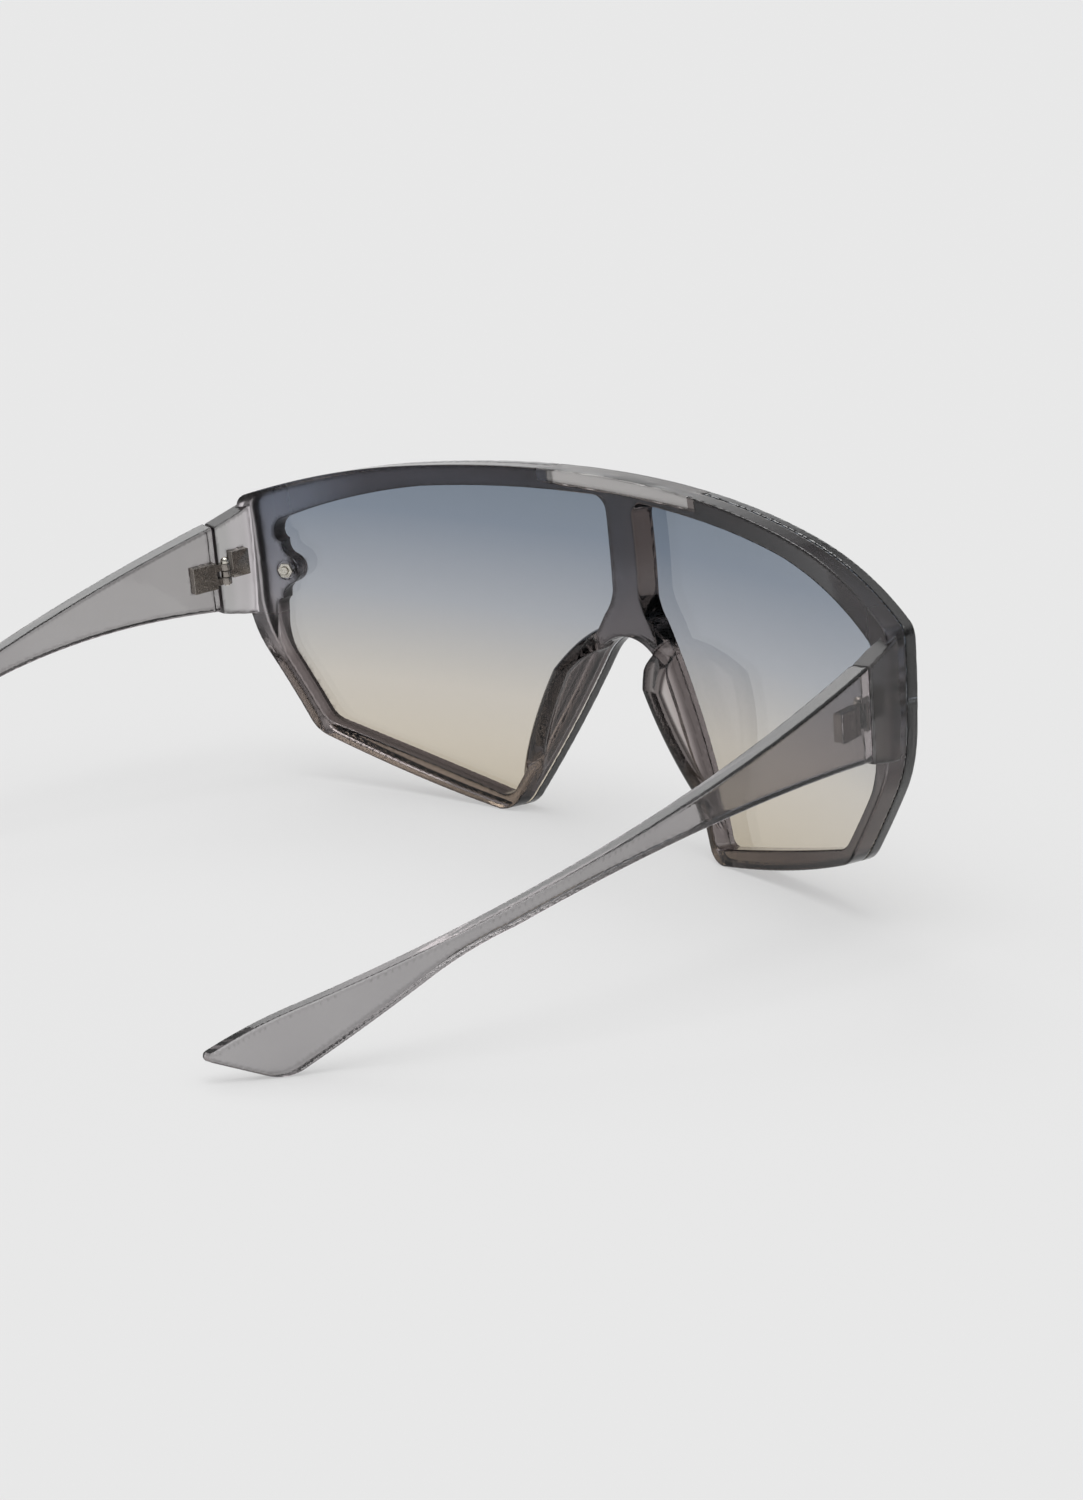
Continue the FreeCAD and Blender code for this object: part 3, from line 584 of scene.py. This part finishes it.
# the flow marks in a material, with its own values
def flowMarks(nodes, marks):
    node = nodes.new("ShaderNodeGroup")
    node.node_tree = flowGroup
    for label, value in zip(flowLook["inputs"], marks):
        node.inputs[label].default_value = value
    return node.outputs


# clear body: light goes through, bent by the index, and is absorbed evenly on its way
def makeClear(nodes, links, shader, look):
    shader.inputs["Transmission Weight"].default_value = 1.0
    shader.inputs["IOR"].default_value = look["index"]
    depth = nodes.new("ShaderNodeVolumeAbsorption")
    depth.inputs["Color"].default_value = (*look["absorbed"], 1.0)
    depth.inputs["Density"].default_value = look["density"]
    links.new(depth.outputs["Volume"], nodes["Material Output"].inputs["Volume"])


# painted shade: the colour is darkened in the rounded edges and the walls, standing in for the light held
# longest there, but not where frosted
def paintEdgeShade(nodes, links, colour, shadeColour, frosted=None):
    edge = nodes.new("ShaderNodeAttribute")
    edge.attribute_name = "paintedEdgeShade"
    share = edge.outputs["Fac"]
    if frosted is not None:
        share = shareOf(nodes, links, "SUBTRACT", share, frosted)
    return mixTint(nodes, links, share, colour, shadeColour, "MULTIPLY")


# a hazy patch is rougher than the polished rest
def roughen(nodes, links, polished, hazy, shader, rough):
    if hazy is None:
        links.new(polished, shader.inputs["Roughness"])
        return
    patch = nodes.new("ShaderNodeMix")
    patch.inputs["B"].default_value = rough
    links.new(hazy, patch.inputs["Factor"])
    links.new(polished, patch.inputs["A"])
    links.new(patch.outputs["Result"], shader.inputs["Roughness"])


# smoked clear plastic: marks are flow scale, speck scale, and lowest and highest roughness
smoke = {"marks": (70.0, 1800.0, 0.02, 0.06), "index": 1.52, "slant": (0.2, 0.5), "hazyRough": 0.28,
         "flow": [(0.3, (0.93, 0.92, 0.925)), (0.7, (0.99, 0.985, 0.985))],
         "relief": 0.06, "reliefDeep": 0.0004}


# its colour is the flow tone times the tint of the zone, which is painted shade on the front, times a painted
# shade where it is seen at a slant, then darkened by painted edge shade
def smokePlastic(name, look, tintOf):
    material, nodes, links, shader = newMaterial(name)
    marks = flowMarks(nodes, smoke["marks"])
    tint, frosted, hazy = tintOf(nodes, links)
    # painted shade: darker where the surface is seen at a slant, by how it faces the eye
    weight = nodes.new("ShaderNodeLayerWeight")
    share = rangeOf(nodes, links, weight.outputs["Facing"], *smoke["slant"])
    if frosted is not None:
        share = shareOf(nodes, links, "SUBTRACT", share, frosted)
    aslantShade = mixTint(nodes, links, share, (1.0, 1.0, 1.0), look["aslantShade"])
    tint = mixTint(nodes, links, 1.0, tint, aslantShade, "MULTIPLY")
    flowTone = toneRamp(nodes, links, marks["Tone"], smoke["flow"])
    colour = mixTint(nodes, links, 1.0, flowTone, tint, "MULTIPLY")
    colour = paintEdgeShade(nodes, links, colour, look["edge"], frosted)
    links.new(colour, shader.inputs["Base Color"])
    roughen(nodes, links, marks["Roughness"], hazy, shader, smoke["hazyRough"])
    bumpFrom(nodes, links, marks["Height"], shader, smoke["relief"], smoke["reliefDeep"])
    feed(links, shader.inputs["Specular Tint"], 3 * (look["gloss"],))
    makeClear(nodes, links, shader, look)
    return material


# front: painted shade by zone, deepest on the brow, then the lower rims, the wings and the lugs; the flanks
# and the block in the notch are left pale; each zone runs over a range across, up or from the middle of the
# balls; its edge colour and slant colour are painted shade too
frontLook = {"index": smoke["index"], "absorbed": (0.36, 0.35, 0.35), "density": 165.0,
             "edge": (0.15, 0.14, 0.14), "aslantShade": (0.1, 0.08, 0.08), "gloss": 0.35,
             "lug": (0.77, 0.77, 0.76), "rim": (0.61, 0.545, 0.535), "brow": (0.45, 0.385, 0.375),
             "flank": (1.0, 0.96, 0.985), "wing": (0.74, 0.69, 0.67), "block": (1.0, 0.99, 0.97),
             "lugAcross": (30, 45), "flankAcross": (48, 67), "flankUp": (20, 28), "browUp": (40, 46),
             "rimFar": (152.5, 154.1), "blockAcross": (16.7, 16.4), "blockUp": (54.5, 54.8)}


# painted shade of the front by its zones, and the frosted and hazy shares
def frontZoneShade(nodes, links):
    place, parts = placeOf(nodes, links)
    side = nodes.new("ShaderNodeMath")
    side.operation = "ABSOLUTE"
    links.new(parts["X"], side.inputs[0])
    across = side.outputs[0]
    far = nodes.new("ShaderNodeVectorMath")
    far.operation = "DISTANCE"
    far.inputs[1].default_value = (0, ballY * toMetres, shield["apex"] * toMetres)
    links.new(place, far.inputs[0])
    onFlank = shareOf(nodes, links, "MULTIPLY", zoneOf(nodes, links, across, frontLook["flankAcross"]),
                      zoneOf(nodes, links, parts["Z"], frontLook["flankUp"]))
    inBlock = shareOf(nodes, links, "MULTIPLY", zoneOf(nodes, links, across, frontLook["blockAcross"]),
                      zoneOf(nodes, links, parts["Z"], frontLook["blockUp"]))
    behind = mixTint(nodes, links, zoneOf(nodes, links, across, frontLook["lugAcross"]),
                     frontLook["wing"], frontLook["lug"])
    layer = mixTint(nodes, links, zoneOf(nodes, links, parts["Z"], frontLook["browUp"]),
                    frontLook["rim"], frontLook["brow"])
    layer = mixTint(nodes, links, onFlank, layer, frontLook["flank"])
    inLayer = zoneOf(nodes, links, far.outputs["Value"], frontLook["rimFar"])
    tone = mixTint(nodes, links, inLayer, behind, layer)
    tone = mixTint(nodes, links, inBlock, tone, frontLook["block"])
    return tone, inBlock, shareOf(nodes, links, "MAXIMUM", inBlock, onFlank)


# the temple's edge colour and slant colour are painted shade
templeLook = {"index": smoke["index"], "absorbed": (0.37, 0.355, 0.36), "density": 320.0,
              "edge": (0.3, 0.29, 0.29), "aslantShade": (0.72, 0.62, 0.64), "gloss": 0.8,
              "tip": (0.68, 0.67, 0.67), "root": (0.9, 0.89, 0.88), "rootAhead": (-50, 35)}


# the temples deepen a little from the hinge to the tip, with no frosted or hazy share
def templeTint(nodes, links):
    ahead = placeOf(nodes, links)[1]["Y"]
    share = zoneOf(nodes, links, ahead, templeLook["rootAhead"])
    return mixTint(nodes, links, share, templeLook["tip"], templeLook["root"]), None, None


lensLook = {"index": 1.6, "absorbed": (0.3, 0.28, 0.28), "density": 60.0, "edge": (0.35, 0.33, 0.32),
            "marks": (25.0, 900.0, 0.0, 0.012), "up": 0.057,
            "tones": [(0.0, (0.78, 0.69, 0.54)), (0.3, (0.735, 0.69, 0.62)), (0.55, (0.465, 0.49, 0.53)),
                      (0.8, (0.241, 0.29, 0.363)), (0.93, (0.2, 0.248, 0.314)), (1.0, (0.1, 0.115, 0.14))]}


# tinted shield: tones from the foot to the top of the lens, with painted shade on its outer edge, in a clear
# body
def tintedLens(name):
    material, nodes, links, shader = newMaterial(name)
    height = nodes.new("ShaderNodeMapRange")
    height.inputs["From Max"].default_value = lensLook["up"]
    links.new(placeOf(nodes, links)[1]["Z"], height.inputs["Value"])
    colour = toneRamp(nodes, links, height.outputs["Result"], lensLook["tones"])
    links.new(paintEdgeShade(nodes, links, colour, lensLook["edge"]), shader.inputs["Base Color"])
    links.new(flowMarks(nodes, lensLook["marks"])["Roughness"], shader.inputs["Roughness"])
    makeClear(nodes, links, shader, lensLook)
    return material


leafLook = {"tone": (0.36, 0.33, 0.3), "marks": (900.0, 3600.0, 0.16, 0.3)}
screwLook = {"tone": (0.72, 0.69, 0.62), "marks": (1500.0, 6000.0, 0.1, 0.2)}
plating = {"darkShare": 0.8, "darkAt": 0.3, "brightAt": 0.7, "relief": 0.2, "reliefDeep": 0.0001}


# plated steel: the tone and a darker share of it by the flow marks, with a faint relief
def steel(name, look):
    material, nodes, links, shader = newMaterial(name)
    marks = flowMarks(nodes, look["marks"])
    dark = tuple(plating["darkShare"] * c for c in look["tone"])
    stops = [(plating["darkAt"], dark), (plating["brightAt"], look["tone"])]
    links.new(toneRamp(nodes, links, marks["Tone"], stops), shader.inputs["Base Color"])
    links.new(marks["Roughness"], shader.inputs["Roughness"])
    bumpFrom(nodes, links, marks["Height"], shader, plating["relief"], plating["reliefDeep"])
    shader.inputs["Metallic"].default_value = 1.0
    return material


frontSmoke = smokePlastic("frontSmoke", frontLook, frontZoneShade)
templeSmoke = smokePlastic("templeSmoke", templeLook, templeTint)
shieldTint = tintedLens("shieldTint")
leafSteel = steel("leafSteel", leafLook)
screwSteel = steel("screwSteel", screwLook)
print("materials made")


# painted shade: the shield's edge is darkened only towards its outer sides
def shadeShield(points, bend):
    return bend * passed(np.abs(points[:, 0]), shield["shadeFrom"], shield["shadeRun"])


# how much painted shade, the dark edge colour, the zones of the front take, and the limits of those zones
frontShade = {"edge": 0.65, "wingEdge": 1.0, "wall": 0.3, "bridgeWall": 0.85, "flankWall": 0.1,
              "noseWall": 1.0, "wallSoft": 1.0, "lugTop": 0.7,
              "bridgeHalf": 12, "bridgeLow": 29, "flankFrom": 55,
              "flankLow": 20, "wingHalf": 32, "wingBehind": 0.5, "noseLow": 3, "noseHigh": 30,
              "noseTurn": 0.4, "lugFrom": 50, "lugLow": 39, "lugTurn": 0.6}


# painted shade of the front: the bends of its edges or its walls, whichever is more, where a wall is a face
# that looks aside from the middle of the balls; then painted shade on the tops of the lugs and on the beads
# at the back of the wings
def shadeFront(points, bend):
    ray = points - (0, ballY, shield["apex"])
    far = np.linalg.norm(ray, axis=1)
    slope = slopeOf(rimField, points)[1]
    squareOn = np.abs((slope * ray).sum(1)) / far
    onWall = (1 - squareOn) * passed(far, rim["back"] - frontShade["wallSoft"], frontShade["wallSoft"])
    aside, high = np.abs(points[:, 0]), points[:, 2]
    fromNose = slope[:, 0] * np.sign(points[:, 0])
    byNose = aside < frontShade["wingHalf"]
    onWing = byNose & (far < rim["back"] - frontShade["wingBehind"])
    onBridge = (aside < frontShade["bridgeHalf"]) & (high > frontShade["bridgeLow"])
    onFlank = (aside > frontShade["flankFrom"]) & (high > frontShade["flankLow"])
    onNose = byNose & (high < frontShade["noseHigh"]) & (high > frontShade["noseLow"])
    onNose = onNose & (fromNose > frontShade["noseTurn"])
    wallShare = np.where(onFlank, frontShade["flankWall"], frontShade["wall"])
    wallShare = np.where(onBridge, frontShade["bridgeWall"], wallShare)
    wallShare = np.where(onNose, frontShade["noseWall"], wallShare)
    edgeShare = np.where(onWing, frontShade["wingEdge"], frontShade["edge"])
    tone = np.maximum(bend * edgeShare, wallShare * onWall)
    # painted shade on the upward faces of the lugs
    onLug = (aside > frontShade["lugFrom"]) & (high > frontShade["lugLow"]) & (far < rim["back"])
    tone = np.where(onLug & (slope[:, 2] > frontShade["lugTurn"]), frontShade["lugTop"], tone)
    # painted shade on a band along the back of each wing
    onBead = passed(wingLeaf(aside, frontY - points[:, 1], high), -wing["bead"], wing["beadSoft"])
    return np.where(onWing, np.maximum(tone, onBead), tone)


# painted shade: the temple's upper edges are darkened only towards the hinge, its lower ones evenly
def shadeTemple(points, bend):
    upward = slopeOf(templeField, points)[1][:, 2]
    nearHinge = passed(points[:, 1], temple["upperFrom"], temple["upperRun"])
    return bend * np.where(upward > temple["upperTurn"], nearHinge, temple["lowerShade"])


# skin of a piece's field in its box, with its own painted edge shade
def shadedSkin(field, sizes, shade):
    points, faces, normals, bend = skinField(field, sizes["boxLow"], sizes["boxHigh"], sizes["grid"])
    return points, faces, normals, shade(points, bend)


shieldSkin = shadedSkin(shieldField, shield, shadeShield)
addPiece("tinted_shield", shieldSkin, shieldTint, "front", "shield_lens")
rimSkin = shadedSkin(rimField, rim, shadeFront)
addPiece("moulded_front", rimSkin, frontSmoke, "front", "front_frame")
templeSkin = shadedSkin(templeField, temple, shadeTemple)
for body in ("temple_right", "temple_left"):
    addPiece("moulded_" + body, templeSkin, templeSmoke, body, body, body.endswith("left"))

# hinge leaves, screws and nuts keep the meshes of the solids, with small bevels, in metres
metalEdge = {"weld": 1e-6, "bevel": 0.00009, "segments": 2, "angle": 35.0}
for name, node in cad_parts.items():
    if name.startswith(("hinge", "lens_")):
        node.data.materials.clear()
        node.data.materials.append(leafSteel if "leaf" in name else screwSteel)
        weld = node.modifiers.new("weld", "WELD")
        weld.merge_threshold = metalEdge["weld"]
        bevel = node.modifiers.new("edge", "BEVEL")
        bevel.width = metalEdge["bevel"]
        bevel.segments = metalEdge["segments"]
        bevel.limit_method = "ANGLE"
        bevel.angle_limit = math.radians(metalEdge["angle"])
print("hinges and screws finished")

# stage: pale floor, soft dome and two lamps; the dome's tones are greys by height, on the far and near side
floorLook = {"half": 6.0, "tone": (0.8, 0.8, 0.8), "rough": 0.9, "evenShare": 0.55}
domeLook = {"farWay": (-0.72, 0.69, 0.0), "farFrom": -0.1, "farTo": 0.4,
            "far": [(0.0, 0.85), (0.26, 0.85), (0.4, 0.18), (0.8, 0.9)],
            "near": [(0.1, 0.55), (0.2, 0.18), (0.45, 0.18), (0.8, 0.9)]}
lamps = {"sun": {"strength": 0.96, "width": 45.0, "azimuth": 30.0, "height": 78.0},
         "key": {"strength": 0.35, "width": 26.0, "azimuth": 241.0, "height": 36.5}}


# a thing in the scene from its data
def putInScene(name, data):
    thing = bpy.data.objects.new(name, data)
    bpy.context.scene.collection.objects.link(thing)
    return thing


# floor: a pale square that takes shadows, and shows part of its own tone evenly to the eye, also through
# glass and in reflections
def makeFloor():
    half = floorLook["half"]
    mesh = bpy.data.meshes.new("floor")
    corners = [(-half, -half, 0), (half, -half, 0), (half, half, 0), (-half, half, 0)]
    mesh.from_pydata(corners, [], [(0, 1, 2, 3)])
    material, nodes, links, shader = newMaterial("paleFloor")
    feed(links, shader.inputs["Base Color"], floorLook["tone"])
    shader.inputs["Roughness"].default_value = floorLook["rough"]
    shader.inputs["Specular IOR Level"].default_value = 0.0
    glow = nodes.new("ShaderNodeEmission")
    feed(links, glow.inputs["Color"], floorLook["tone"])
    path = nodes.new("ShaderNodeLightPath").outputs
    seen = shareOf(nodes, links, "MAXIMUM", path["Is Camera Ray"], path["Is Glossy Ray"])
    seen = shareOf(nodes, links, "MAXIMUM", seen, path["Is Transmission Ray"])
    mix = nodes.new("ShaderNodeMixShader")
    links.new(shareOf(nodes, links, "MULTIPLY", seen, floorLook["evenShare"]), mix.inputs["Fac"])
    links.new(shader.outputs["BSDF"], mix.inputs[1])
    links.new(glow.outputs["Emission"], mix.inputs[2])
    links.new(mix.outputs["Shader"], nodes["Material Output"].inputs["Surface"])
    mesh.materials.append(material)
    return putInScene("floor", mesh)


# dome: greys by height, from the near side's to the far side's along the far way
def makeDome():
    world = bpy.data.worlds.new("softDome")
    world.use_nodes = True
    nodes, links = world.node_tree.nodes, world.node_tree.links
    place, parts = placeOf(nodes, links, "Generated")
    along = nodes.new("ShaderNodeVectorMath")
    along.operation = "DOT_PRODUCT"
    along.inputs[1].default_value = domeLook["farWay"]
    links.new(place, along.inputs[0])
    share = rangeOf(nodes, links, along.outputs["Value"], domeLook["farFrom"], domeLook["farTo"])
    near, far = [toneRamp(nodes, links, parts["Z"], [(at, 3 * (grey,)) for at, grey in domeLook[kind]])
                 for kind in ("near", "far")]
    links.new(mixTint(nodes, links, share, near, far), nodes["Background"].inputs["Color"])
    return world


# way from the middle towards an azimuth, counted from straight behind, and a height in degrees
def wayTo(azimuth, height):
    a, e = math.radians(azimuth), math.radians(height)
    return Vector((math.sin(a) * math.cos(e), -math.cos(a) * math.cos(e), math.sin(e)))


floor = makeFloor()
bpy.context.scene.world = makeDome()
for label, look in lamps.items():
    lamp = bpy.data.lights.new(label, "SUN")
    lamp.energy = look["strength"]
    lamp.angle = math.radians(look["width"])
    lampObject = putInScene(label, lamp)
    lampObject.rotation_mode = "QUATERNION"
    lampObject.rotation_quaternion = wayTo(look["azimuth"], look["height"]).to_track_quat("Z", "Y")

# camera: its way and its place to the right, up and back from the shield's foremost point, with the focal
# length from the photo's pixels
camera = {"azimuth": 46.12, "elevation": 13.64, "right": -17.49, "up": 12.67, "back": 821.7, "drop": -0.6,
          "sensor": 36.0, "focalPixels": 5200, "highPixels": 1500, "clipStart": 0.01, "clipEnd": 100.0}
back = wayTo(camera["azimuth"], camera["elevation"])
right = Vector((0, 0, 1)).cross(back).normalized()
up = back.cross(right)
cameraData = bpy.data.cameras.new("camera")
cameraData.sensor_width = camera["sensor"]
cameraData.lens = camera["focalPixels"] * camera["sensor"] / camera["highPixels"]
cameraData.clip_start = camera["clipStart"]
cameraData.clip_end = camera["clipEnd"]
cameraObject = putInScene("camera", cameraData)
aim = Vector((0, frontY, camera["drop"]))
stand = right * camera["right"] + up * camera["up"] + back * camera["back"] + aim
cameraObject.location = stand * toMetres
cameraObject.rotation_mode = "QUATERNION"
cameraObject.rotation_quaternion = (-back).to_track_quat("-Z", "Y")
bpy.context.scene.camera = cameraObject
bpy.context.scene.view_settings.view_transform = "Standard"
print("stage set")
